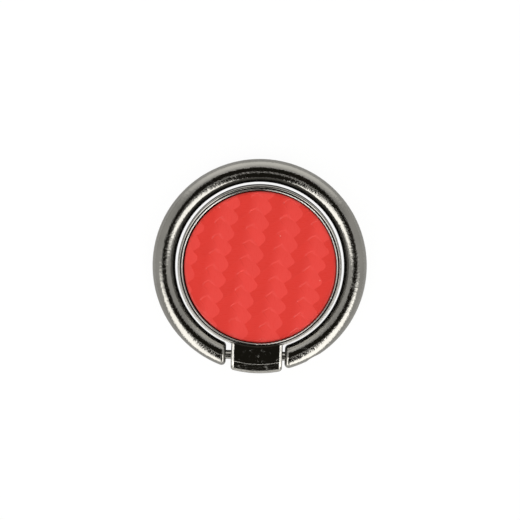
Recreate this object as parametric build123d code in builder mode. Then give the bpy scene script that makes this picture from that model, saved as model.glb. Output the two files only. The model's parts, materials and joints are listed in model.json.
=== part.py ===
"""Phone ring holder: a stick-on base, a swivelling collar and a hinged finger ring.

The base plate is stuck to the back of a phone.  A collar turns round its boss, caught
between the base flange and a pressed cup that is riveted down on three posts, and carries
a hinge block.  The finger ring folds flat round the collar and flips up about a pin in
that block.  A disc with a raised 2 by 2 twill, in the manner of carbon cloth, lies in the cup.

Frame: +Z up from the phone, origin on the swivel axis at the adhesive face, hinge at -Y.
Units: millimetres.
"""

import os
from math import ceil, hypot, radians, tan

from build123d import *

os.makedirs("parts", exist_ok=True)

# Plan sizes
outer_radius = 20.0  # finger ring and hinge block
ring_width = 4.27  # finger ring, across its oval section
ring_clearance = 0.45  # finger ring to the collar inside it
collar_rim = 0.5  # radial width of the collar's rim
swivel_clearance = 0.16  # cup to collar, and collar to boss
cup_sheet = 0.28  # thickness of the pressed cup
insert_clearance = 0.18  # twill disc to the cup's wall
lip_width = 2.8  # collar's inner lip, in from its rim
flange_setback = 0.2  # base flange inside the collar's outside
glide_margin = 0.2  # film washer inside the base flange
pad_margin = 0.75  # adhesive pad inside the base flange
glue_margin = 0.6  # adhesive film inside the twill disc

# Heights
ring_height = 3.6  # finger ring, through its oval section
ring_lift = 0.7  # folded ring above the phone
collar_proud = 0.6  # collar and hinge block above the folded ring
pad_thickness = 0.8  # foam adhesive pad
pad_proud = 0.5  # pad below the base plate's edge
flange_round = 0.2  # lower edge of the base flange
flange_thickness = 0.9  # base flange over the pad
glide_thickness = 0.15  # film washer under the collar
lip_thickness = 1.1  # collar's inner lip
spring_gap = 0.46  # free height of the spring washer over the lip
spring_sheet = 0.15  # thickness of the spring washer
glue_thickness = 0.1  # adhesive film under the twill disc
insert_thickness = 0.66  # twill disc, to the crowns of its floats
insert_recess = 0.35  # twill crowns below the cup's rim

# Hinge
block_width = 9.6  # hinge block, along the pin
block_round = 0.6  # edges of the block
block_corner = 0.7  # upright corners of the block
plateau_setback = 1.8  # block's flat top inside the outer radius
ledge_step = 0.16  # drop from the flat top to the ledge in front of it
ledge_slope = 6.0  # fall of the ledge, in degrees
ledge_root = 0.4  # ledge under the flat top
block_lip_round = 0.15  # upper edge of the block towards the cup
pin_radius = 0.85
pin_inset = 1.04  # pin axis inside the ring's middle line
pin_bite = 2.6  # pin in the blind end of the ring
pin_sunk = 0.2  # pin below the ring's flank at its open end
pin_chamfer = 0.16  # ends of the pin
pin_running = 0.02  # radial play of the pin in its sleeve
sleeve_wall = 0.3  # damping sleeve in the block
sleeve_slit = 0.25  # split along the sleeve
gap_left = 0.95  # hinge block to the ring's end at -X
gap_right = 0.45  # hinge block to the ring's end at +X
ring_end_round = 0.8  # edges of the ring's ends

# Cup and its fixing
cup_bend = 0.6  # outside bend at the foot of the cup
cup_rim_round = 0.12  # both edges of the cup's rim
post_radius = 1.0
post_setback = 5.3  # posts inside the edge of the boss
post_count = 3
head_flare = 0.4  # widening of each peened head

# Twill
tow_pitch = 2.09  # one tow to the next
tow_gap = 0.12  # groove between neighbouring floats
tow_crown = 0.11  # height of a float over the backing
tow_edge = 0.03  # height of a float at its corners
tow_sink = 0.05  # root of a float in the backing
twill_angle = 36.3  # first set of tows, in degrees from +X
twill_shift = (-0.2, -0.9)  # a crossing of the tows, from the centre, along and across them
twill_margin = 0.15  # plain edge round the twill

# Radii and levels that follow
ring_bore = outer_radius - ring_width
ring_middle = outer_radius - ring_width / 2
collar_radius = ring_bore - ring_clearance
collar_bore = collar_radius - collar_rim
lip_bore = collar_bore - lip_width
boss_radius = lip_bore - swivel_clearance
post_circle = boss_radius - post_setback
cup_radius = collar_bore - swivel_clearance
cup_inside = cup_radius - cup_sheet
insert_radius = cup_inside - insert_clearance
flange_radius = collar_radius - flange_setback
pad_radius = flange_radius - pad_margin
spring_inside = lip_bore + swivel_clearance
spring_outside = cup_radius - cup_bend - swivel_clearance
pin_distance = ring_middle - pin_inset
plateau_radius = outer_radius - plateau_setback

pin_height = ring_lift + ring_height / 2
collar_top = ring_lift + ring_height + collar_proud
block_height = collar_top - ring_lift
pad_top = pad_thickness
flange_top = pad_top + flange_thickness
lip_bottom = flange_top + glide_thickness
lip_top = lip_bottom + lip_thickness
cup_bottom = lip_top + spring_gap
cup_floor = cup_bottom + cup_sheet
insert_bottom = cup_floor + glue_thickness
insert_top = insert_bottom + insert_thickness
cup_top = insert_top + insert_recess
backing_top = insert_top - tow_crown
sleeve_radius = pin_radius + pin_running + sleeve_wall

left_end = -(block_width / 2 + gap_left)
right_end = block_width / 2 + gap_right


# Foam adhesive pad on the underside
with BuildPart() as adhesive_pad:
    with BuildSketch():
        Circle(pad_radius)
    extrude(amount=pad_thickness)
adhesive_pad.part.label = "adhesive_pad"


# Base plate: flange with a recess for the pad, boss, and posts with peened heads
with BuildPart() as base_plate:
    with BuildSketch(Plane.XZ):
        with BuildLine():
            Polyline(
                (0, pad_top),
                (pad_radius, pad_top),
                (pad_radius, pad_proud),
                (flange_radius, pad_proud),
                (flange_radius, flange_top),
                (boss_radius, flange_top),
                (boss_radius, cup_bottom),
                (0, cup_bottom),
                close=True,
            )
        make_face()
    revolve(axis=Axis.Z)
    foot_edge = base_plate.edges().group_by(Axis.Z)[0].sort_by(SortBy.RADIUS)[-1]
    fillet(foot_edge, flange_round)
    with Locations((0, 0, (cup_bottom + cup_floor) / 2)):
        with PolarLocations(post_circle, post_count):
            Cone(post_radius, post_radius + head_flare, cup_sheet)
base_plate.part.label = "base_plate"


# Film washer that the collar glides on
with BuildPart() as glide_washer:
    with BuildSketch(Plane.XY.offset(flange_top)):
        Circle(flange_radius - glide_margin)
        Circle(lip_bore, mode=Mode.SUBTRACT)
    extrude(amount=glide_thickness)
glide_washer.part.label = "glide_washer"


# Front of the hinge block: a sloping ledge, rounded all round
with BuildPart() as block_front:
    with BuildSketch(Plane.XY.offset(ring_lift)) as front_plan:
        with Locations((0, -outer_radius)):
            Rectangle(block_width, 2 * outer_radius)
        Circle(outer_radius, mode=Mode.INTERSECT)
        fillet(front_plan.vertices().group_by(Axis.Y)[0], block_corner)
        Circle(plateau_radius - ledge_root, mode=Mode.SUBTRACT)
    extrude(amount=block_height)
    ledge_top = collar_top - ledge_step
    ledge_fall = tan(radians(ledge_slope))
    with BuildSketch(Plane.XZ):
        with BuildLine():
            Polyline(
                (0, ring_lift),
                (2 * outer_radius, ring_lift),
                (2 * outer_radius, ledge_top - (2 * outer_radius - plateau_radius) * ledge_fall),
                (0, ledge_top + plateau_radius * ledge_fall),
                close=True,
            )
        make_face()
    revolve(axis=Axis.Z, mode=Mode.INTERSECT)
    for face in (block_front.faces().sort_by(Axis.Z)[-1], block_front.faces().sort_by(Axis.Z)[0]):
        rim = [edge for edge in face.edges() if hypot(edge.center().X, edge.center().Y) > plateau_radius]
        fillet(rim, block_round)


# Hinge block: the flat top behind the ledge, its long edges rounded
with BuildPart() as hinge_block:
    with BuildSketch(Plane.XZ):
        with Locations((0, ring_lift + block_height / 2)):
            RectangleRounded(block_width, block_height, block_round)
    extrude(amount=outer_radius)
    with BuildSketch(Plane.XZ) as block_section:
        with BuildLine():
            Polyline(
                (collar_bore, lip_bottom),
                (collar_radius, lip_bottom),
                (collar_radius, ring_lift),
                (plateau_radius, ring_lift),
                (plateau_radius, ledge_top - ledge_step),
                (plateau_radius + ledge_step / 2, ledge_top - ledge_step),
                (plateau_radius + ledge_step / 2, ledge_top),
                (plateau_radius, collar_top),
                (collar_bore, collar_top),
                close=True,
            )
        make_face()
        fillet(block_section.vertices().sort_by_distance((collar_bore, collar_top))[0], block_lip_round)
    revolve(axis=Axis.Z, mode=Mode.INTERSECT)
    add(block_front.part)


# Swivel collar: inner lip, round-topped rim and the hinge block, cast in one
with BuildPart() as swivel_collar:
    with BuildSketch(Plane.XZ):
        with BuildLine():
            Polyline(
                (lip_bore, lip_bottom),
                (collar_radius, lip_bottom),
                (collar_radius, collar_top - collar_rim / 2),
            )
            ThreePointArc(
                (collar_radius, collar_top - collar_rim / 2),
                (collar_radius - collar_rim / 2, collar_top),
                (collar_bore, collar_top - collar_rim / 2),
            )
            Polyline(
                (collar_bore, collar_top - collar_rim / 2),
                (collar_bore, lip_top),
                (lip_bore, lip_top),
                (lip_bore, lip_bottom),
            )
        make_face()
    revolve(axis=Axis.Z)
    add(hinge_block.part)
    with BuildSketch(Plane.YZ.offset(-block_width / 2)):
        with Locations((-pin_distance, pin_height)):
            Circle(sleeve_radius)
    extrude(amount=block_width, mode=Mode.SUBTRACT)
swivel_collar.part.label = "swivel_collar"


# Split damping sleeve that grips the pin
with BuildPart() as damping_sleeve:
    with BuildSketch(Plane.YZ.offset(-block_width / 2)):
        with Locations((-pin_distance, pin_height)):
            Circle(sleeve_radius)
            Circle(pin_radius + pin_running, mode=Mode.SUBTRACT)
        with Locations((-pin_distance, pin_height + sleeve_radius)):
            Rectangle(sleeve_slit, 2 * sleeve_wall + pin_radius, mode=Mode.SUBTRACT)
    extrude(amount=block_width)
damping_sleeve.part.label = "damping_sleeve"


# Coned spring washer between the collar's lip and the cup
with BuildPart() as spring_washer:
    with BuildSketch(Plane.XZ):
        with BuildLine():
            Polyline(
                (spring_inside, cup_bottom - spring_sheet),
                (spring_outside, lip_top),
                (spring_outside, lip_top + spring_sheet),
                (spring_inside, cup_bottom),
                close=True,
            )
        make_face()
    revolve(axis=Axis.Z)
spring_washer.part.label = "spring_washer"


# Pressed cup, with countersunk holes over the posts
with BuildPart() as cover_cup:
    with BuildSketch(Plane.XY.offset(cup_bottom)):
        Circle(cup_radius)
    extrude(amount=cup_top - cup_bottom)
    fillet(cover_cup.edges().group_by(Axis.Z)[0], cup_bend)
    mouth = cover_cup.faces().sort_by(Axis.Z)[-1]
    offset(amount=-cup_sheet, openings=mouth)
    fillet(cover_cup.edges().group_by(Axis.Z)[-1], cup_rim_round)
    with Locations((0, 0, (cup_bottom + cup_floor) / 2)):
        with PolarLocations(post_circle, post_count):
            Cone(post_radius, post_radius + head_flare, cup_sheet, mode=Mode.SUBTRACT)
cover_cup.part.label = "cover_cup"


# Adhesive film that holds the twill disc in the cup
with BuildPart() as disc_adhesive:
    with BuildSketch(Plane.XY.offset(cup_floor)):
        Circle(insert_radius - glue_margin)
    extrude(amount=glue_thickness)
disc_adhesive.part.label = "disc_adhesive"


# One float of the twill, along X: crowned across and along
with BuildPart() as tow_float:
    float_width = tow_pitch - tow_gap
    float_length = 2 * tow_pitch - tow_gap
    for plane, span, depth in (
        (Plane.YZ, float_width, float_length),
        (Plane.XZ, float_length, float_width),
    ):
        with BuildSketch(plane):
            with BuildLine():
                ThreePointArc((-span / 2, tow_edge), (0, tow_crown), (span / 2, tow_edge))
                Polyline(
                    (span / 2, tow_edge),
                    (span / 2, -tow_sink),
                    (-span / 2, -tow_sink),
                    (-span / 2, tow_edge),
                )
            make_face()
        mode = Mode.ADD if plane == Plane.YZ else Mode.INTERSECT
        extrude(amount=depth / 2, both=True, mode=mode)


# Places of the floats: each covers two crossings and steps by one from row to row
float_places = []
twill = Plane(
    origin=(0, 0, backing_top),
    x_dir=Vector(1, 0, 0).rotate(Axis.Z, twill_angle),
    z_dir=(0, 0, 1),
)
reach = ceil(insert_radius / tow_pitch) + 4
for row in range(-reach, reach):
    for repeat in range(-reach, reach):
        along = ((row + 4 * repeat + 1) * tow_pitch, (row + 0.5) * tow_pitch, 0)
        across = ((row + 0.5) * tow_pitch, (row + 4 * repeat + 2) * tow_pitch, 90)
        for x, y, turn in (along, across):
            x += twill_shift[0]
            y += twill_shift[1]
            if hypot(x, y) < insert_radius + tow_pitch / 2:
                float_places.append(twill.location * Location((x, y, 0), (0, 0, turn)))


# Twill disc: backing with the floats, trimmed round
with BuildPart() as twill_field:
    with Locations(*float_places):
        add(tow_float.part)
    with BuildSketch(Plane.XY.offset(insert_bottom)):
        Circle(insert_radius - twill_margin)
    extrude(amount=2 * insert_thickness, mode=Mode.INTERSECT)

with BuildPart() as twill_disc:
    with BuildSketch(Plane.XY.offset(insert_bottom)):
        Circle(insert_radius)
    extrude(amount=backing_top - insert_bottom)
    chamfer(twill_disc.edges().group_by(Axis.Z)[0], cup_bend - cup_sheet)
    add(twill_field.part)
twill_disc.part.label = "twill_disc"


# Finger ring: oval section, open at the hinge, drilled for the pin from +X
with BuildPart() as finger_ring:
    with BuildSketch(Plane.XZ):
        with BuildLine():
            for start in (-90, 90):
                EllipticalCenterArc(
                    (ring_middle, pin_height),
                    ring_width / 2,
                    ring_height / 2,
                    start_angle=start,
                    arc_size=180,
                )
        make_face()
    revolve(axis=Axis.Z)
    with BuildSketch(Plane.XY):
        with Locations(((left_end + right_end) / 2, -ring_middle)):
            Rectangle(right_end - left_end, 2 * ring_width)
    extrude(amount=2 * collar_top, mode=Mode.SUBTRACT)
    ends = finger_ring.faces().filter_by(Axis.X)
    fillet(ends.edges(), ring_end_round)
    with BuildSketch(Plane.YZ.offset(left_end - pin_bite)):
        with Locations((-pin_distance, pin_height)):
            Circle(pin_radius)
    extrude(amount=2 * outer_radius, mode=Mode.SUBTRACT)
finger_ring.part.label = "finger_ring"


# Hinge pin, pressed into the ring's ends
with BuildPart() as hinge_pin:
    flank = (outer_radius**2 - (pin_distance + pin_radius) ** 2) ** 0.5
    pin_length = flank - pin_sunk - (left_end - pin_bite)
    with BuildSketch(Plane.YZ.offset(left_end - pin_bite)):
        with Locations((-pin_distance, pin_height)):
            Circle(pin_radius)
    extrude(amount=pin_length)
    chamfer(hinge_pin.edges().filter_by(GeomType.CIRCLE), pin_chamfer)
hinge_pin.part.label = "hinge_pin"


pieces = (
    adhesive_pad,
    base_plate,
    glide_washer,
    swivel_collar,
    damping_sleeve,
    spring_washer,
    cover_cup,
    disc_adhesive,
    twill_disc,
    finger_ring,
    hinge_pin,
)
for piece in pieces:
    export_step(piece.part, f"parts/{piece.part.label}.step")
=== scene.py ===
# %% [markdown]
# # A phone ring holder in dark nickel and red twill
#
# The holder lies folded: a ring of polished, dark plated metal round a base that carries a red disc with
# a raised 2 by 2 twill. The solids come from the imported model, and this lesson gives them their looks.
# Everything is in metres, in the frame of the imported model, so nothing has to be fitted by eye.

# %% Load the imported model
import json
import math

import bmesh
import bpy
import numpy as np
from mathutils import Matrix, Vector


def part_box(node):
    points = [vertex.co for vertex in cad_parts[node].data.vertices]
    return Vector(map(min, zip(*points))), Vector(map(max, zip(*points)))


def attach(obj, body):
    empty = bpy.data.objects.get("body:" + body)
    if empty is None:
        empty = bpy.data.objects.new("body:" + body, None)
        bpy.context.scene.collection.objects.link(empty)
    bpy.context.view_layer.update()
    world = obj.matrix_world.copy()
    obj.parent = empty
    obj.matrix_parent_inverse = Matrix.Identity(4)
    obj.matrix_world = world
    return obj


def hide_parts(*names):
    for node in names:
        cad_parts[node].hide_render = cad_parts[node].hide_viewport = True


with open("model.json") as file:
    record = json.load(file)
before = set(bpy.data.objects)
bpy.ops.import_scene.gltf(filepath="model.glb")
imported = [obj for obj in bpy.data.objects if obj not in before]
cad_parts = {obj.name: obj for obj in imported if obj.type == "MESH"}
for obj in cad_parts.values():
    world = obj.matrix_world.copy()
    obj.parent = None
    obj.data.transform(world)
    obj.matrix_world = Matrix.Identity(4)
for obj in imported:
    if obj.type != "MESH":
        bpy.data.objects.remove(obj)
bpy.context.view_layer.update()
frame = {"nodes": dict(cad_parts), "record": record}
mm = 0.001
scene = bpy.context.scene
scene.view_settings.view_transform = "Standard"
print("solids in the frame:", len(frame["nodes"]))

# %% [markdown]
# ## Camera
# The photograph looks almost straight down, leaning by 5.4 degrees towards the far side, and the holder
# is turned a little in the picture. A long lens keeps the round parts round. The scale is the holder's
# 40 mm across about 214 pixels of the picture.

# %% Place the camera
picture_side = 520
pixel = 0.1866 * mm
camera_lean = math.radians(5.4)
camera_turn = math.radians(1.93)
camera_distance = 600 * mm
sensor = 36.0
middle_height = 2.5 * mm
aim_right = 0.33 * pixel
aim_up = 5.93 * pixel

picture_right = np.array((math.cos(camera_turn), math.sin(camera_turn), 0.0))
picture_up = np.array((-math.sin(camera_turn), math.cos(camera_turn), 0.0))
aim = aim_right * picture_right + aim_up * picture_up + np.array((0.0, 0.0, middle_height))
towards_camera = math.sin(camera_lean) * picture_up + np.array((0.0, 0.0, math.cos(camera_lean)))

camera = bpy.data.objects.new("camera", bpy.data.cameras.new("camera"))
scene.collection.objects.link(camera)
camera.location = aim + camera_distance * towards_camera
camera.rotation_euler = (-camera_lean, 0.0, camera_turn)
camera.data.sensor_width = sensor
camera.data.lens = sensor * camera_distance / (picture_side * pixel)
camera.data.clip_start = 10 * mm
camera.data.clip_end = 50.0
scene.camera = camera
print("lens in mm:", round(camera.data.lens, 1))

# %% [markdown]
# ## Helpers for node trees
# The light and every finish are made of nodes. These helpers add a node with its settings, feed a socket
# from another one or from a plain value, and make the few kinds of node that are used again and again.

# %% Node helpers
def add_node(tree, kind, **settings):
    made = tree.nodes.new("ShaderNode" + kind)
    for name, value in settings.items():
        setattr(made, name, value)
    return made


def feed(tree, socket, source):
    if isinstance(source, bpy.types.NodeSocket):
        tree.links.new(source, socket)
    else:
        socket.default_value = source


def calc(tree, operation, first, second=0.0):
    made = add_node(tree, "Math", operation=operation)
    feed(tree, made.inputs[0], first)
    feed(tree, made.inputs[1], second)
    return made.outputs[0]


def fade(tree, source, low, high, low_value=0.0, high_value=1.0):
    made = add_node(tree, "MapRange", interpolation_type="SMOOTHSTEP")
    for socket, value in zip(made.inputs, (source, low, high, low_value, high_value)):
        feed(tree, socket, value)
    return made.outputs[0]


def blend_colours(tree, factor, first, second, kind="MIX"):
    made = add_node(tree, "Mix", data_type="RGBA", blend_type=kind)
    feed(tree, made.inputs[0], factor)
    feed(tree, made.inputs[6], first)
    feed(tree, made.inputs[7], second)
    return made.outputs[2]


def ramp(tree, source, stops):
    made = add_node(tree, "ValToRGB")
    marks = made.color_ramp.elements
    while len(marks) < len(stops):
        marks.new(1.0)
    for mark, (place, colour) in zip(marks, stops):
        mark.position = place
        mark.color = (*colour, 1.0)
    feed(tree, made.inputs[0], source)
    return made.outputs[0]


print("node helpers ready")

# %% [markdown]
# ## Light tent
# A polished ring shows its surroundings more than itself, so the light is a studio tent made in the
# world's nodes. Two bright panels hang at the left and right of the near half, before pale walls. Where
# the camera looks in, a dark strip runs over the top: it is wide on the far side, narrowest a little before
# the middle, and wider again towards the near side. It keeps the flat tops black and gives the ring its
# sharp dark lines. The far walls are the brightest, and darken towards the top. A thin pale hem crosses the
# strip on the near side. The strip and the panels have plain outlines on a flat ceiling one unit above the
# table, so a direction is first carried to that ceiling. The camera itself sees plain white.

# %% Carry directions to a flat ceiling
tent_level = 1.44
tent_tint = (1.0, 0.98, 0.925)


def tinted(level):
    return tuple(level * part for part in tent_tint)


def compass(degrees):
    return (degrees + 90.0) / 180.0


def from_top(degrees):
    return degrees / 90.0


world = bpy.data.worlds.new("light_tent")
scene.world = world
world.use_nodes = True
tent = world.node_tree
tent.nodes.clear()

direction = add_node(tent, "SeparateXYZ")
tent.links.new(add_node(tent, "TexCoord").outputs["Generated"], direction.inputs[0])
dir_x, dir_y, dir_z = direction.outputs
side = calc(tent, "ABSOLUTE", dir_x)
top_angle = calc(tent, "DIVIDE", calc(tent, "ARCCOSINE", dir_z), math.pi / 2)
compass_angle = calc(tent, "ADD", calc(tent, "DIVIDE", calc(tent, "ARCTAN2", dir_y, side), math.pi), 0.5)
above_table = calc(tent, "MAXIMUM", dir_z, 0.02)
ceiling_x = calc(tent, "DIVIDE", side, above_table)
ceiling_y = calc(tent, "DIVIDE", dir_y, above_table)
nearer = calc(tent, "MULTIPLY", ceiling_y, -1.0)
print("tent directions:", len(tent.nodes), "nodes")

# %% Hang the panels and the walls
strip_far_half = 0.40
strip_near_half = 0.21
strip_widens = 0.42
strip_widens_from = 0.30
strip_widest = 0.24
strip_far_end = 0.57
strip_colour = (0.016, 0.0145, 0.0105, 1.0)
edge_blur = 0.03
panel_half = 0.66
panel_widens = 0.62

past_start = calc(tent, "MAXIMUM", calc(tent, "SUBTRACT", nearer, strip_widens_from), 0.0)
spread = calc(tent, "MINIMUM", calc(tent, "MULTIPLY", past_start, strip_widens), strip_widest)
strip_half = fade(tent, nearer, 0.0, 0.32, strip_far_half, strip_near_half)
past_strip = calc(tent, "SUBTRACT", ceiling_x, calc(tent, "ADD", spread, strip_half))
softness = calc(tent, "ADD", calc(tent, "MULTIPLY", past_start, 2.0), 1.0)
beside_strip = fade(tent, calc(tent, "DIVIDE", past_strip, softness), -0.03, 0.035)
behind_strip = fade(tent, ceiling_y, strip_far_end - edge_blur, strip_far_end + edge_blur)
below_strip = fade(tent, top_angle, from_top(60), from_top(68))
lit_share = calc(tent, "MAXIMUM", beside_strip, calc(tent, "MAXIMUM", behind_strip, below_strip))
panel_end = calc(tent, "ADD", calc(tent, "MULTIPLY", nearer, panel_widens), panel_half)
inside_panel = fade(tent, calc(tent, "SUBTRACT", panel_end, ceiling_x), -0.03, 0.06)
above_hem = fade(tent, top_angle, from_top(83), from_top(89), 1.0, 0.0)
before_middle = fade(tent, nearer, 0.16, 0.30)
panel_share = calc(tent, "MULTIPLY", inside_panel, beside_strip)
panel_share = calc(tent, "MULTIPLY", panel_share, calc(tent, "MULTIPLY", above_hem, before_middle))

walls = ramp(
    tent,
    compass_angle,
    (
        (compass(-90), tinted(0.46)),
        (compass(-20), tinted(0.50)),
        (compass(29), tinted(0.50)),
        (compass(32), tinted(0.40)),
        (compass(35), tinted(0.50)),
        (compass(41), tinted(0.80)),
        (compass(90), tinted(1.00)),
    ),
)
upper_gain = fade(tent, top_angle, from_top(28), from_top(68), 0.60, 1.08)
far_gain = fade(tent, compass_angle, compass(15), compass(45), 1.0, upper_gain)
walls = blend_colours(tent, 1.0, walls, far_gain, "MULTIPLY")
tent_panels = blend_colours(tent, panel_share, walls, (*tinted(2.28), 1.0))
tent_lit = blend_colours(tent, lit_share, strip_colour, tent_panels)
print("panels end", panel_half, "from the middle of the ceiling")

# %% Add the hem and set the world
hem = ramp(
    tent,
    top_angle,
    (
        (from_top(14.0), tinted(0.0)),
        (from_top(15.0), tinted(0.85)),
        (from_top(16.5), tinted(0.85)),
        (from_top(17.5), tinted(0.0)),
    ),
)
hem_share = fade(tent, compass_angle, compass(-60), compass(-20), 1.0, 0.0)
lit_hem = blend_colours(tent, 1.0, hem, hem_share, "MULTIPLY")
tent_colour = blend_colours(tent, 1.0, tent_lit, lit_hem, "ADD")

tent_light = add_node(tent, "Background")
feed(tent, tent_light.inputs["Color"], tent_colour)
feed(tent, tent_light.inputs["Strength"], tent_level)
plain_white = add_node(tent, "Background")
feed(tent, plain_white.inputs["Color"], (1.0, 1.0, 1.0, 1.0))
seen = add_node(tent, "MixShader")
feed(tent, seen.inputs[0], add_node(tent, "LightPath").outputs["Is Camera Ray"])
feed(tent, seen.inputs[1], tent_light.outputs[0])
feed(tent, seen.inputs[2], plain_white.outputs[0])
feed(tent, add_node(tent, "OutputWorld").inputs["Surface"], seen.outputs[0])
print("tent nodes:", len(tent.nodes))

# %% [markdown]
# ## Floor
# A white table top. For the camera most of its white is given off by the surface, so the picture's ground
# is white, and the rest is lit by the tent, so the holder's soft shadow stays. Metal shows the same table
# mostly by the tent's light, so the narrow gaps under the holder stay dark in it.

# %% Lay the floor
floor_glow = 0.95
floor_lit = 0.06
mirrored_glow = 0.20
mirrored_lit = 0.56
bounced_lit = 0.85

bpy.ops.object.select_all(action="DESELECT")
bpy.ops.mesh.primitive_plane_add(size=6.0, location=(0.0, 0.0, -0.02 * mm))
floor = bpy.context.object
floor.name = "floor"
bpy.ops.object.transform_apply(location=True, rotation=True, scale=True)

white_table = bpy.data.materials.new("white_table")
white_table.use_nodes = True
table = white_table.node_tree
table.nodes.clear()
path = add_node(table, "LightPath")
by_camera = path.outputs["Is Camera Ray"]
by_mirror = calc(table, "MAXIMUM", path.outputs["Is Glossy Ray"], path.outputs["Is Transmission Ray"])


def by_ray(plain, mirrored, camera_view):
    made = fade(table, by_mirror, 0.0, 1.0, plain, mirrored)
    return fade(table, by_camera, 0.0, 1.0, made, camera_view)


glow = add_node(table, "Emission")
feed(table, glow.inputs["Color"], (1.0, 1.0, 1.0, 1.0))
feed(table, glow.inputs["Strength"], by_ray(0.0, mirrored_glow, floor_glow))
lit_part = add_node(table, "BsdfDiffuse")
feed(table, lit_part.inputs["Color"], by_ray(bounced_lit, mirrored_lit, floor_lit))
seen_table = add_node(table, "AddShader")
feed(table, seen_table.inputs[0], glow.outputs[0])
feed(table, seen_table.inputs[1], lit_part.outputs[0])
feed(table, add_node(table, "OutputMaterial").inputs["Surface"], seen_table.outputs[0])
floor.data.materials.append(white_table)
print("floor laid at", round(floor.data.vertices[0].co.z / mm, 3), "mm")

# %% [markdown]
# ## Shared effects
# Plating on cast metal is never a perfect mirror. A wheel polished it, which left fine streaks across the
# ring and a faint orange peel, and handling left hairline scratches and smudges. One group makes all of
# this, and the metals and the films use it with values of their own. The streaks run across the ring, so
# their pattern is laid out by the angle round the holder's axis. On the flat hinge block and on the narrow
# collar the peel is weaker, and the block's top has more smudges.

# %% Group for plated and cast surfaces
def new_group(name, inputs, outputs):
    group = bpy.data.node_groups.new(name, "ShaderNodeTree")
    for label, value in inputs:
        socket = group.interface.new_socket(label, in_out="INPUT", socket_type="NodeSocketFloat")
        socket.default_value = value
    for label in outputs:
        group.interface.new_socket(label, in_out="OUTPUT", socket_type="NodeSocketFloat")
    return group, group.nodes.new("NodeGroupInput"), group.nodes.new("NodeGroupOutput")


def noise(tree, place, scale, detail=2.0, roughness=0.5):
    made = add_node(tree, "TexNoise")
    feed(tree, made.inputs["Vector"], place)
    feed(tree, made.inputs["Scale"], scale)
    feed(tree, made.inputs["Detail"], detail)
    feed(tree, made.inputs["Roughness"], roughness)
    return made.outputs[0]


def turned_place(tree, place, scale, turn=(0.0, 0.0, 0.0), shift=(0.0, 0.0, 0.0)):
    made = add_node(tree, "Mapping")
    feed(tree, made.inputs["Vector"], place)
    feed(tree, made.inputs["Location"], shift)
    feed(tree, made.inputs["Rotation"], turn)
    feed(tree, made.inputs["Scale"], scale)
    return made.outputs[0]


def split(tree, place):
    made = add_node(tree, "SeparateXYZ")
    feed(tree, made.inputs[0], place)
    return made.outputs


def joined(tree, first, second, third):
    made = add_node(tree, "CombineXYZ")
    for socket, source in zip(made.inputs, (first, second, third)):
        feed(tree, socket, source)
    return made.outputs[0]


handled, handled_in, handled_out = new_group(
    "handled_metal",
    (("Peel Scale", 2600.0), ("Streak Share", 0.0)),
    ("Peel", "Marks", "Tone"),
)
where = add_node(handled, "TexCoord").outputs["Object"]
where_x, where_y, where_z = split(handled, where)
squared_x = calc(handled, "POWER", where_x, 2.0)
squared_y = calc(handled, "POWER", where_y, 2.0)
from_axis = calc(handled, "SQRT", calc(handled, "ADD", squared_x, squared_y))
round_axis = calc(handled, "ARCTAN2", where_y, where_x)
streak_place = joined(
    handled,
    calc(handled, "MULTIPLY", round_axis, 34.0),
    calc(handled, "MULTIPLY", from_axis, 1300.0),
    calc(handled, "MULTIPLY", where_z, 1300.0),
)
streaks = noise(handled, streak_place, 1.0, 3.0, 0.6)
peel = noise(handled, where, handled_in.outputs["Peel Scale"], 2.0, 0.45)
surface_height = add_node(handled, "Mix", data_type="FLOAT")
feed(handled, surface_height.inputs[0], handled_in.outputs["Streak Share"])
feed(handled, surface_height.inputs[2], peel)
feed(handled, surface_height.inputs[3], streaks)
scratches = None
for turn, long_scale, fine_scale in ((0.35, 260.0, 9000.0), (1.25, 190.0, 7500.0), (2.45, 320.0, 11000.0)):
    stretched = turned_place(handled, where, (long_scale, fine_scale, 2000.0), (0.0, 0.0, turn))
    hairline = fade(handled, noise(handled, stretched, 1.0, 1.0), 0.72, 0.80)
    scratches = hairline if scratches is None else calc(handled, "MAXIMUM", scratches, hairline)
smudge_place = turned_place(handled, where, (260.0, 620.0, 400.0), (0.0, 0.0, 0.5))
smudges = fade(handled, noise(handled, smudge_place, 1.0, 3.0, 0.6), 0.54, 0.74)
marks = calc(
    handled,
    "MAXIMUM",
    calc(handled, "MULTIPLY", scratches, 0.10),
    calc(handled, "MULTIPLY", smudges, 0.45),
)
tone = fade(handled, noise(handled, where, 140.0, 3.0, 0.55), 0.35, 0.65)
block_peel = 0.25
collar_peel = 0.35
flat_block = fade(handled, where_y, -15.6 * mm, -15.0 * mm, block_peel, 1.0)
beside_block = fade(handled, calc(handled, "ABSOLUTE", where_x), 4.9 * mm, 5.3 * mm)
peel_share = calc(handled, "MAXIMUM", flat_block, beside_block)
on_ring = fade(handled, from_axis, 15.45 * mm, 15.65 * mm, collar_peel, 1.0)
touched = fade(handled, noise(handled, where, 900.0, 5.0, 0.7), 0.53, 0.72, 0.0, 0.65)
marks = calc(handled, "MAXIMUM", marks, fade(handled, peel_share, block_peel, 1.0, touched, 0.0))
feed(
    handled,
    handled_out.inputs["Peel"],
    calc(
        handled,
        "MULTIPLY",
        calc(handled, "SUBTRACT", surface_height.outputs[0], 0.5),
        calc(handled, "MULTIPLY", peel_share, on_ring),
    ),
)
feed(handled, handled_out.inputs["Marks"], marks)
feed(handled, handled_out.inputs["Tone"], tone)
print("handled metal nodes:", len(handled.nodes))

# %% [markdown]
# The hinge block's edges rub on pockets and fingers. Along the sides and at the step the plating is worn
# through to bright metal; at the front it is only dulled. The bands follow the lie of the surface: they are
# where the face leans sideways or forwards, on the block only.

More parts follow.
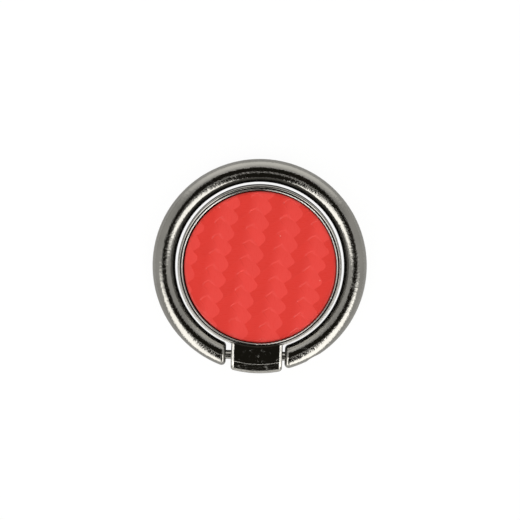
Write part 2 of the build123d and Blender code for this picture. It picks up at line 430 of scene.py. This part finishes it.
# %% Group for the block's worn edges
worn, worn_in, worn_out = new_group(
    "worn_edges", (("Side Wear", 1.0), ("Step Wear", 0.9)), ("Worn", "Dulled")
)
worn_coords = add_node(worn, "TexCoord")
worn_x, worn_y, worn_z = split(worn, worn_coords.outputs["Object"])
normal_x, normal_y, normal_z = split(worn, worn_coords.outputs["Normal"])
ragged = calc(worn, "MULTIPLY", noise(worn, worn_coords.outputs["Object"], 2400.0, 3.0, 0.6), 0.16)


def leaning(lean, first, full, fading, last):
    uneven_lean = calc(worn, "ADD", lean, ragged)
    begun = fade(worn, uneven_lean, first, full)
    return calc(worn, "MULTIPLY", begun, fade(worn, uneven_lean, fading, last, 1.0, 0.0))


def between(source, low, high, soft):
    begun = fade(worn, source, low - soft, low + soft)
    return calc(worn, "MULTIPLY", begun, fade(worn, source, high - soft, high + soft, 1.0, 0.0))


on_block = fade(worn, calc(worn, "ABSOLUTE", worn_x), 4.95 * mm, 5.05 * mm, 1.0, 0.0)
side_zone = calc(
    worn,
    "MULTIPLY",
    between(worn_y, -18.6 * mm, -14.5 * mm, 0.15 * mm),
    calc(worn, "MULTIPLY", fade(worn, worn_z, 4.0 * mm, 4.1 * mm), on_block),
)
side_lean = leaning(calc(worn, "ABSOLUTE", normal_x), 0.12, 0.24, 0.72, 0.90)
side_worn = calc(worn, "MULTIPLY", side_lean, side_zone)
forward = calc(worn, "MULTIPLY", normal_y, -1.0)
worn_flat = add_node(worn, "VectorMath", operation="LENGTH")
feed(worn, worn_flat.inputs[0], joined(worn, worn_x, worn_y, 0.0))
worn_radius = worn_flat.outputs["Value"]
step_zone = calc(worn, "MULTIPLY", between(worn_radius, 17.8 * mm, 19.2 * mm, 0.05 * mm), on_block)
step_worn = calc(worn, "MULTIPLY", leaning(forward, 0.28, 0.42, 1.3, 1.5), step_zone)
front_zone = calc(worn, "MULTIPLY", fade(worn, worn_radius, 19.15 * mm, 19.25 * mm), on_block)
feed(
    worn,
    worn_out.inputs["Worn"],
    calc(
        worn,
        "MAXIMUM",
        calc(worn, "MULTIPLY", side_worn, worn_in.outputs["Side Wear"]),
        calc(worn, "MULTIPLY", step_worn, worn_in.outputs["Step Wear"]),
    ),
)
front_dulled = calc(worn, "MULTIPLY", leaning(forward, 0.16, 0.30, 1.3, 1.5), front_zone)
feed(worn, worn_out.inputs["Dulled"], front_dulled)
print("worn edge nodes:", len(worn.nodes))

# %% [markdown]
# Round the disc there are two narrow grooves. They are darkened: partly dust and polish that collect where a
# cloth can't reach, partly painted shade in the crevices. The rims between them are rubbed bright instead.
# One group finds both by the distance from the axis and the height. Rubbing and darkening differ between the
# near and the far side: at the far side the painted shade stands higher and covers part of the collar's
# outer wall, and right at the far end nothing is rubbed. Where the collar meets the block, its inner edge is
# darkened with painted shade as well.

# %% Group for the rims and grooves round the disc
rims, rims_in, rims_out = new_group(
    "rims_and_grooves",
    (
        ("Inner Edge", 0.0),
        ("Outer Edge", 1.0),
        ("Grime Level", 0.0),
        ("Grime Rise", 0.0),
        ("Rim Edge", 0.0),
        ("Near Level", 1.0),
        ("Far Level", 1.0),
        ("Near Share", 1.0),
        ("Far Share", 1.0),
    ),
    ("Grime And Shade", "Rubbed"),
)
rim_place = add_node(rims, "TexCoord").outputs["Object"]
rim_x, rim_y, rim_z = split(rims, rim_place)
rim_flat = add_node(rims, "VectorMath", operation="LENGTH")
feed(rims, rim_flat.inputs[0], joined(rims, rim_x, rim_y, 0.0))
rim_radius = rim_flat.outputs["Value"]
uneven = calc(rims, "MULTIPLY", noise(rims, rim_place, 1500.0, 3.0), 0.12 * mm)
in_groove = calc(
    rims,
    "MULTIPLY",
    calc(rims, "GREATER_THAN", rim_radius, rims_in.outputs["Inner Edge"]),
    calc(rims, "LESS_THAN", rim_radius, rims_in.outputs["Outer Edge"]),
)
# The darkened level rises towards the far side: painted shade there.
far_shade_rise = fade(rims, rim_y, -4 * mm, 8 * mm, 0.0, rims_in.outputs["Grime Rise"])
grime_and_shade_level = calc(rims, "ADD", rims_in.outputs["Grime Level"], calc(rims, "ADD", far_shade_rise, uneven))
below_level = calc(rims, "SUBTRACT", grime_and_shade_level, rim_z)
grime_and_shade_share = calc(rims, "MULTIPLY", in_groove, fade(rims, below_level, 0.0, 0.10 * mm))
past_rim_edge = fade(rims, calc(rims, "SUBTRACT", rim_radius, rims_in.outputs["Rim Edge"]), 0.0, 0.06 * mm)
rim_level = fade(
    rims, rim_y, -8 * mm, 8 * mm, rims_in.outputs["Near Level"], rims_in.outputs["Far Level"]
)
above_level = calc(rims, "SUBTRACT", rim_z, calc(rims, "ADD", rim_level, uneven))
near_block = calc(
    rims,
    "MULTIPLY",
    calc(rims, "GREATER_THAN", rim_radius, 14.7 * mm),
    fade(rims, rim_y, -14.4 * mm, -14.1 * mm, 1.0, 0.0),
)
off_block = calc(rims, "SUBTRACT", 1.0, near_block)
# The collar's inner edge beside the block is darkened with painted shade.
block_edge_shade = calc(rims, "MULTIPLY", near_block, calc(rims, "LESS_THAN", rim_radius, 15.04 * mm))
outer_wall = calc(
    rims,
    "MULTIPLY",
    calc(rims, "GREATER_THAN", rim_radius, 15.06 * mm),
    calc(rims, "LESS_THAN", rim_radius, 15.45 * mm),
)
# The collar's outer wall at the far side, below its rim, is darkened with painted shade.
far_wall_shade = calc(rims, "MULTIPLY", outer_wall, fade(rims, rim_y, 4 * mm, 12 * mm, 0.0, 0.6))
far_wall_shade = calc(rims, "MULTIPLY", far_wall_shade, fade(rims, rim_z, 4.55 * mm, 4.65 * mm, 1.0, 0.0))
# All darkening together: dust in the grooves, and painted shade in them, at the far side and at the block.
grime_and_shade_share = calc(rims, "MAXIMUM", calc(rims, "MAXIMUM", grime_and_shade_share, far_wall_shade), block_edge_shade)
feed(rims, rims_out.inputs["Grime And Shade"], grime_and_shade_share)
at_end = fade(rims, rim_y, 11.5 * mm, 14.0 * mm, 1.0, 0.0)
by_side = fade(rims, rim_y, -6 * mm, 6 * mm, rims_in.outputs["Near Share"], rims_in.outputs["Far Share"])
rubbed_share = calc(rims, "MULTIPLY", fade(rims, above_level, -0.06 * mm, 0.02 * mm), off_block)
rubbed_share = calc(rims, "MULTIPLY", rubbed_share, calc(rims, "MULTIPLY", at_end, by_side))
feed(rims, rims_out.inputs["Rubbed"], calc(rims, "MULTIPLY", rubbed_share, past_rim_edge))
print("rim nodes:", len(rims.nodes))

# %% [markdown]
# ## Metal finishes
# Ring and collar are cast zinc with a polished dark nickel plating; the cup is pressed sheet with the same
# plating, a little lighter; the base below is left satin; the pin and the spring are ground steel. They
# differ in colour, in gloss and in how deep the peel is, so one function makes them all.

# %% Make the metals
bare_metal = (0.93, 0.92, 0.90, 1.0)
bare_roughness = 0.46
# Dark colour for the grooves: partly dust, partly painted shade in crevices and at the far side.
grime_and_shade_colour = (0.030, 0.028, 0.023, 1.0)
grime_and_shade_roughness = 0.7
front_roughness = 0.5


def new_material(name):
    material = bpy.data.materials.new(name)
    material.use_nodes = True
    return material, material.node_tree, material.node_tree.nodes["Principled BSDF"]


def place_group(tree, group, **values):
    made = add_node(tree, "Group", node_tree=group)
    for label, value in values.items():
        feed(tree, made.inputs[label.replace("_", " ")], value)
    return made


def bump(tree, height, depth, strength=1.0):
    made = add_node(tree, "Bump")
    feed(tree, made.inputs["Strength"], strength)
    feed(tree, made.inputs["Distance"], depth)
    feed(tree, made.inputs["Height"], height)
    return made.outputs[0]


def handled_material(
    name, dark, light, smooth, dulled, peel_scale, peel_depth, streak=0.0, wear=0.0, rim=None
):
    material, tree, shader = new_material(name)
    surface = place_group(tree, handled, Peel_Scale=peel_scale, Streak_Share=streak)
    colour = blend_colours(tree, surface.outputs["Tone"], (*dark, 1.0), (*light, 1.0))
    roughness = fade(tree, surface.outputs["Marks"], 0.0, 1.0, smooth, dulled)
    rubbed = []
    if wear > 0.0:
        edges_found = place_group(tree, worn, Side_Wear=wear, Step_Wear=0.9 * wear)
        rubbed.append(edges_found.outputs["Worn"])
        front = calc(tree, "MULTIPLY", edges_found.outputs["Dulled"], front_roughness)
        roughness = calc(tree, "MAXIMUM", roughness, front)
    if rim:
        *edges, near_share, far_share = rim
        labels = (
            "Inner_Edge", "Outer_Edge", "Grime_Level", "Grime_Rise", "Rim_Edge", "Near_Level", "Far_Level"
        )
        places = {label: edge * mm for label, edge in zip(labels, edges)}
        found = place_group(tree, rims, **places, Near_Share=near_share, Far_Share=far_share)
        rubbed.append(found.outputs["Rubbed"])
    for share in rubbed:
        colour = blend_colours(tree, share, colour, bare_metal)
        roughness = calc(tree, "MAXIMUM", roughness, fade(tree, share, 0.0, 0.40, smooth, bare_roughness))
    if rim:
        # Darken the grooves: partly dust, partly painted shade in crevices and at the far side.
        colour = blend_colours(tree, found.outputs["Grime And Shade"], colour, grime_and_shade_colour)
        grime_and_shade_rough = calc(tree, "MULTIPLY", found.outputs["Grime And Shade"], grime_and_shade_roughness)
        roughness = calc(tree, "MAXIMUM", roughness, grime_and_shade_rough)
    feed(tree, shader.inputs["Base Color"], colour)
    feed(tree, shader.inputs["Metallic"], 1.0)
    feed(tree, shader.inputs["Roughness"], roughness)
    feed(tree, shader.inputs["Normal"], bump(tree, surface.outputs["Peel"], peel_depth))
    return material


gunmetal_polish = handled_material(
    "gunmetal_polish", (0.287, 0.283, 0.272), (0.320, 0.315, 0.303), 0.06, 0.55, 4200.0, 0.046 * mm, 0.72,
    wear=1.0, rim=(14.70, 15.06, 4.58, 0.20, 14.84, 4.35, 4.76, 0.32, 0.10),
)
cup_polish = handled_material(
    "cup_polish", (0.345, 0.340, 0.328), (0.377, 0.372, 0.360), 0.08, 0.40, 3400.0, 0.004 * mm,
    rim=(0.0, 14.80, 4.56, 0.0, 0.0, 4.70, 4.70, 0.12, 0.9),
)
satin_casting = handled_material(
    "satin_casting", (0.13, 0.13, 0.13), (0.17, 0.17, 0.168), 0.34, 0.55, 5200.0, 0.012 * mm
)
ground_steel = handled_material(
    "ground_steel", (0.36, 0.354, 0.342), (0.42, 0.413, 0.400), 0.10, 0.45, 6000.0, 0.003 * mm
)
print("metals:", [m.name for m in (gunmetal_polish, cup_polish, satin_casting, ground_steel)])

# %% [markdown]
# ## Small plastics and films
# A milky glide film under the collar, a nylon sleeve round the pin and an adhesive film under the disc.
# They hardly show, but each has its own tone, gloss and grain.

# %% Make the plastics and films
def soft_material(name, dark, light, smooth, dulled, grain_scale, grain_depth):
    material, tree, shader = new_material(name)
    surface = place_group(tree, handled, Peel_Scale=grain_scale)
    colour = blend_colours(tree, surface.outputs["Tone"], (*dark, 1.0), (*light, 1.0))
    feed(tree, shader.inputs["Base Color"], colour)
    feed(tree, shader.inputs["Roughness"], fade(tree, surface.outputs["Marks"], 0.0, 1.0, smooth, dulled))
    feed(tree, shader.inputs["Normal"], bump(tree, surface.outputs["Peel"], grain_depth))
    return material


milky_film = soft_material(
    "milky_film", (0.74, 0.73, 0.69), (0.82, 0.81, 0.77), 0.35, 0.5, 3000.0, 0.004 * mm
)
natural_nylon = soft_material(
    "natural_nylon", (0.70, 0.68, 0.61), (0.78, 0.76, 0.70), 0.38, 0.55, 4200.0, 0.006 * mm
)
clear_glue = soft_material(
    "clear_glue", (0.64, 0.62, 0.56), (0.72, 0.70, 0.64), 0.18, 0.35, 900.0, 0.01 * mm
)
print("plastics:", [m.name for m in (milky_film, natural_nylon, clear_glue)])

# %% Give the solids their finishes
finish_of_slot = {
    "gunmetal": gunmetal_polish,
    "gunmetal_cup": cup_polish,
    "cast_base": satin_casting,
    "steel": ground_steel,
    "glide_film": milky_film,
    "nylon": natural_nylon,
    "glue_film": clear_glue,
}
slot_of_node = {row["node"]: row["material_slot"] for row in frame["record"]["subparts"]}
for node_name, solid in frame["nodes"].items():
    finish = finish_of_slot.get(slot_of_node[node_name])
    if finish is None:
        continue
    for slot in solid.material_slots:
        slot.material = finish
    print(node_name, "->", finish.name)

# %% [markdown]
# ## Twill disc
# The disc is a red film embossed like carbon cloth in a 2 by 2 twill: each float passes over two tows and
# every row steps by one. The floats that run up to the left lie over their neighbours with rounded ends,
# and the others show a straight raised edge that catches the light. Separate floats would leave open
# edges, so the disc is one closed mesh: a fine grid laid along the tows, trimmed round, raised by a
# formula for the weave, and given a rim and an underside.

# %% The weave as a formula
tow_pitch = 2.09 * mm
tow_crown = 0.11 * mm
twill_angle = math.radians(36.3)
twill_shift = (-0.2 * mm, -0.9 * mm)
tow_steps = 24
end_round = 0.45
disc_offset = (0.10 * mm, -0.06 * mm)


def step_up(values, low, high):
    share = np.clip((values - low) / (high - low), 0.0, 1.0)
    return share * share * (3.0 - 2.0 * share)


def along_tows(places):
    turned_x = places[:, 0] * math.cos(twill_angle) + places[:, 1] * math.sin(twill_angle)
    turned_y = places[:, 1] * math.cos(twill_angle) - places[:, 0] * math.sin(twill_angle)
    return (turned_x - twill_shift[0]) / tow_pitch, (turned_y - twill_shift[1]) / tow_pitch


def shuffled(first, second):
    mixed = np.sin(first * 12.9898 + second * 78.233) * 43758.5453
    return mixed - np.floor(mixed)


def float_level(along):
    return 0.82 + 0.18 * step_up(along, -0.1, 0.4) - 0.60 * step_up(along, 0.9, 2.0)


def weave(places):
    u, v = along_tows(places)
    u, v = (
        u + 0.035 * np.sin(1.9 * v + 0.7 * u) + 0.02 * np.sin(4.3 * v - 1.1 * u + 1.0),
        v + 0.035 * np.sin(1.7 * u - 0.6 * v + 2.0) + 0.02 * np.sin(4.9 * u + 1.3 * v),
    )
    column = np.floor(u)
    row = np.floor(v)
    # floats along v: start is 0 at the rounded end and 2 where it dives
    across = u - column - 0.5
    start = np.mod(v - column - 0.5, 4.0) - 0.5
    top_tone = shuffled(column, np.floor((v - column - 0.5) / 4.0))
    into_corner = np.clip((across - 0.5 + end_round) / end_round, 0.0, 1.0)
    rounded_end = end_round * (1.0 - np.sqrt(1.0 - into_corner**2)) + 0.12 * (top_tone - 0.5)
    on_top = (start > rounded_end) & (start < 2.0)
    next_float = np.where(start > 1.0, float_level(start - 1.0), 0.0)
    top_height = np.maximum(float_level(start), next_float * step_up(across, -0.10, 0.50))
    # floats along u: the edge towards -v stands up where a dived end meets it
    over = v - row - 0.5
    length = np.mod(u - row + 1.0, 4.0) - 1.0
    low_tone = shuffled(row + 0.5, np.floor((u - row + 1.0) / 4.0))
    stroke_end = 1.55 + 0.4 * shuffled(row, np.floor((u - row + 1.0) / 4.0))
    stroke = step_up(length, 1.0, 1.15) * (1.0 - step_up(length, stroke_end - 0.15, stroke_end))
    edge_drop = (0.25 + 0.65 * low_tone) * stroke
    edge = 1.0 - edge_drop * (1.0 - step_up(over, -0.5, -0.40))
    low_height = (0.86 - 0.10 * over) * edge
    height = np.where(on_top, top_height, low_height)
    lay = np.where(start > rounded_end, 1.0 - step_up(start - across, 1.3, 3.0), 0.0)
    return height, lay, np.where(on_top, top_tone, low_tone)


print("one float is", round(2 * tow_pitch / mm, 2), "mm long")

# %% Lay the grid along the tows and trim it round
disc_low, disc_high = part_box("twill_disc")
disc_radius = (disc_high[0] - disc_low[0]) / 2
backing_top = disc_high[2] - tow_crown
grid_step = tow_pitch / tow_steps
grid_count = 2 * math.ceil((disc_radius + max(map(abs, twill_shift))) / grid_step)

bpy.ops.object.select_all(action="DESELECT")
bpy.ops.mesh.primitive_grid_add(
    x_subdivisions=grid_count,
    y_subdivisions=grid_count,
    size=grid_count * grid_step,
    location=(
        twill_shift[0] * math.cos(twill_angle) - twill_shift[1] * math.sin(twill_angle),
        twill_shift[0] * math.sin(twill_angle) + twill_shift[1] * math.cos(twill_angle),
        backing_top,
    ),
    rotation=(0.0, 0.0, twill_angle),
)
twill = bpy.context.object
twill.name = "red_twill_disc"
bpy.ops.object.transform_apply(location=True, rotation=True, scale=True)

bpy.ops.object.mode_set(mode="EDIT")
bpy.ops.mesh.select_mode(type="VERT")


def select_corners(piece, test):
    editing = bmesh.from_edit_mesh(piece.data)
    for corner in editing.verts:
        corner.select_set(bool(test(corner.co)))
    editing.select_flush(True)
    bmesh.update_edit_mesh(piece.data)


trim_radius = disc_radius - 0.8 * grid_step
select_corners(twill, lambda co: math.hypot(co.x, co.y) > trim_radius)
bpy.ops.mesh.delete(type="VERT")
print("faces in the trimmed grid:", len(bmesh.from_edit_mesh(twill.data).faces))

# %% Close the disc with a rim and an underside
def extrude_ring(piece, radius, height):
    bpy.ops.mesh.extrude_region_move(TRANSFORM_OT_translate={"value": (0.0, 0.0, 0.0)})
    editing = bmesh.from_edit_mesh(piece.data)
    for corner in editing.verts:
        if corner.select:
            reach = radius / math.hypot(corner.co.x, corner.co.y)
            corner.co = (corner.co.x * reach, corner.co.y * reach, height)
    bmesh.update_edit_mesh(piece.data)


disc_shoulder = 0.09 * mm
disc_foot = 0.2 * mm
bpy.ops.mesh.select_all(action="SELECT")
bpy.ops.mesh.delete_loose(use_verts=True, use_edges=True, use_faces=False)
bpy.ops.mesh.select_all(action="DESELECT")
bpy.ops.mesh.select_non_manifold(use_multi_face=False, use_non_contiguous=False, use_verts=False)
extrude_ring(twill, disc_radius - disc_shoulder, backing_top)
extrude_ring(twill, disc_radius, backing_top - disc_shoulder)
extrude_ring(twill, disc_radius, disc_low[2] + disc_foot)
extrude_ring(twill, disc_radius - disc_foot, disc_low[2])
bpy.ops.mesh.edge_face_add()
bpy.ops.mesh.select_all(action="SELECT")
bpy.ops.mesh.normals_make_consistent(inside=False)
bpy.ops.object.mode_set(mode="OBJECT")
print("disc faces:", len(twill.data.polygons))

# %% Raise the weave
corner_places = np.empty(3 * len(twill.data.vertices))
twill.data.vertices.foreach_get("co", corner_places)
corner_places = corner_places.reshape(-1, 3)
float_height, lay, tow_tone = weave(corner_places[:, :2])
from_rim = disc_radius - np.hypot(corner_places[:, 0], corner_places[:, 1])
on_face = (np.abs(corner_places[:, 2] - backing_top) < 0.001 * mm) & (from_rim > 1.5 * disc_shoulder)
raised = float_height * step_up(from_rim, 0.08 * mm, 0.35 * mm) * tow_crown
corner_places[on_face, 2] += raised[on_face]
corner_places[:, :2] += disc_offset
twill.data.vertices.foreach_set("co", corner_places.ravel())
for label, values in (("lay", lay), ("tow_tone", tow_tone)):
    attribute = twill.data.attributes.new(label, "FLOAT", "POINT")
    attribute.data.foreach_set("value", values.astype(np.float32))
twill.data.update()
bpy.ops.object.shade_smooth_by_angle(angle=math.radians(40.0))
print("weave stands", round(raised.max() / mm, 3), "mm over the backing")

# %% [markdown]
# The film's red is one dye, but the two directions of floats send the light back differently, so each has
# its own tone, and no two floats are quite alike. Fine fibre lines run along every float, and a few specks
# of dust lie on the film. The two tones follow attributes that the weave left on the mesh, so colour and
# relief can't part.

# %% Make the red film
red_film, film, film_shader = new_material("red_twill_film")
lay_value = add_node(film, "Attribute", attribute_name="lay").outputs["Fac"]
tow_value = add_node(film, "Attribute", attribute_name="tow_tone").outputs["Fac"]
film_place = add_node(film, "TexCoord").outputs["Object"]
film_turn = (0.0, 0.0, -twill_angle)
fibre_fine = 24000.0
fibre_long = 500.0
fibres_u = noise(film, turned_place(film, film_place, (fibre_long, fibre_fine, 1.0), film_turn), 1.0, 2.0)
fibres_v = noise(film, turned_place(film, film_place, (fibre_fine, fibre_long, 1.0), film_turn), 1.0, 2.0)
fibres = add_node(film, "Mix", data_type="FLOAT")
for place, source in ((0, lay_value), (2, fibres_u), (3, fibres_v)):
    feed(film, fibres.inputs[place], source)
fibre_value = fibres.outputs[0]
two_reds = blend_colours(film, lay_value, (0.702, 0.0418, 0.0325, 1.0), (0.775, 0.0619, 0.0527, 1.0))
tow_shade = calc(film, "ADD", calc(film, "MULTIPLY", tow_value, 0.03), 0.985)
fibre_shade = calc(film, "ADD", calc(film, "MULTIPLY", fibre_value, 0.014), 0.993)
shade = calc(film, "MULTIPLY", tow_shade, fibre_shade)
dyed = blend_colours(film, 1.0, two_reds, shade, "MULTIPLY")
dust_colour = (0.86, 0.42, 0.36, 1.0)
dust = add_node(film, "TexVoronoi")
feed(film, dust.inputs["Vector"], film_place)
feed(film, dust.inputs["Scale"], 420.0)
dust_kept = calc(film, "GREATER_THAN", split(film, dust.outputs["Color"])[0], 0.45)
dust_share = calc(film, "MULTIPLY", fade(film, dust.outputs["Distance"], 0.03, 0.06, 0.5, 0.0), dust_kept)
feed(film, film_shader.inputs["Base Color"], blend_colours(film, dust_share, dyed, dust_colour))
feed(film, film_shader.inputs["Roughness"], fade(film, fibre_value, 0.3, 0.7, 0.27, 0.33))
feed(film, film_shader.inputs["Normal"], bump(film, fibre_value, 0.0006 * mm))
feed(film, film_shader.inputs["Specular IOR Level"], 0.35)
twill.data.materials.append(red_film)
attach(twill, "base")
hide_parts("twill_disc")
print("film nodes:", len(film.nodes))

# %% [markdown]
# ## Foam pad
# The pad under the base is closed-cell foam with adhesive on both faces. It is cut with a die, so its edge
# bulges a little where it stands free of the base, and it shows its cells. It is turned up from a flat
# circle, ring by ring, which leaves a soft outline that a plain cylinder doesn't have.

# %% Model the foam pad
pad_low, pad_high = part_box("adhesive_pad")
pad_radius = (pad_high[0] - pad_low[0]) / 2
bpy.ops.object.select_all(action="DESELECT")
bpy.ops.mesh.primitive_circle_add(
    vertices=192, radius=pad_radius - 0.10 * mm, fill_type="NGON", location=(0.0, 0.0, pad_low[2])
)
pad = bpy.context.object
pad.name = "foam_pad"
bpy.ops.object.transform_apply(location=True, rotation=True, scale=True)
bpy.ops.object.mode_set(mode="EDIT")
bpy.ops.mesh.select_all(action="SELECT")
pad_outline = (
    (-0.04, 0.01),
    (0.00, 0.05),
    (0.03, 0.12),
    (0.05, 0.22),
    (0.04, 0.32),
    (0.01, 0.40),
    (-0.02, 0.46),
    (-0.03, 0.52),
    (-0.03, 0.78),
)
for bulge, height in pad_outline:
    extrude_ring(pad, pad_radius + bulge * mm, pad_low[2] + height * mm)
extrude_ring(pad, pad_radius - 0.06 * mm, pad_high[2])
bpy.ops.mesh.select_all(action="SELECT")
bpy.ops.mesh.normals_make_consistent(inside=False)
bpy.ops.object.mode_set(mode="OBJECT")
bpy.ops.object.shade_smooth_by_angle(angle=math.radians(50.0))
print("pad faces:", len(pad.data.polygons))

# %% Make the foam
acrylic_foam, foam, foam_shader = new_material("acrylic_foam")
foam_place = add_node(foam, "TexCoord").outputs["Object"]
cells = add_node(foam, "TexVoronoi")
feed(foam, cells.inputs["Vector"], foam_place)
feed(foam, cells.inputs["Scale"], 5200.0)
cell_wall = fade(foam, cells.outputs["Distance"], 0.15, 0.55)
foam_tone = noise(foam, foam_place, 700.0, 4.0, 0.6)
foam_colour = blend_colours(foam, cell_wall, (0.10, 0.10, 0.105, 1.0), (0.21, 0.21, 0.22, 1.0))
feed(foam, foam_shader.inputs["Base Color"], blend_colours(foam, 0.35, foam_colour, foam_tone, "MULTIPLY"))
feed(foam, foam_shader.inputs["Roughness"], fade(foam, foam_tone, 0.3, 0.7, 0.72, 0.9))
feed(foam, foam_shader.inputs["Normal"], bump(foam, cell_wall, 0.03 * mm))
pad.data.materials.append(acrylic_foam)
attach(pad, "base")
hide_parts("adhesive_pad")
print("foam nodes:", len(foam.nodes))
